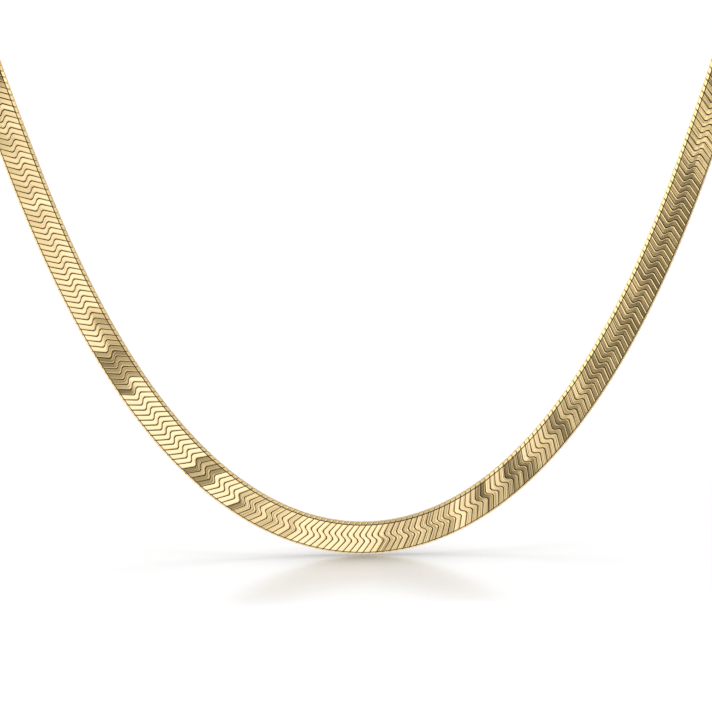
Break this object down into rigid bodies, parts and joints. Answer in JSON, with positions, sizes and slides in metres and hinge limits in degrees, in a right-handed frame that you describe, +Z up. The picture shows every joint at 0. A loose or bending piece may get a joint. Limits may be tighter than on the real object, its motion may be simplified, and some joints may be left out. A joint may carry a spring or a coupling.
{
  "type": "herringbone chain necklace",
  "caption": "Flat gold herringbone chain for the neck, worn form: a deep hanging front, sides turning back to the nape, crimped end caps, jump rings and a plain clasp.",
  "frame": {"origin": "where the chain rests on the back of the neck: the middle of the clasp's inner face at the nape", "axes": "+X towards the wearer's left, -Y forwards through the hanging front, +Z up"},
  "size_m": [0.1278, 0.0761, 0.1176],
  "materials": {
    "polished_gold": "mirror-polished pale yellow gold, dark between the links",
    "cap_gold": "polished pale yellow gold sheet with fine rubbing marks",
    "ring_gold": "polished pale yellow gold wire",
    "clasp_gold": "polished pale yellow gold casting with fine rubbing marks"
  },
  "bodies": {
    "root": {"herringbone_band": "polished_gold", "end_cap_left": "cap_gold", "end_cap_right": "cap_gold", "jump_ring_left": "ring_gold", "jump_ring_right": "ring_gold", "clasp": "clasp_gold"}
  },
  "joints": []
}
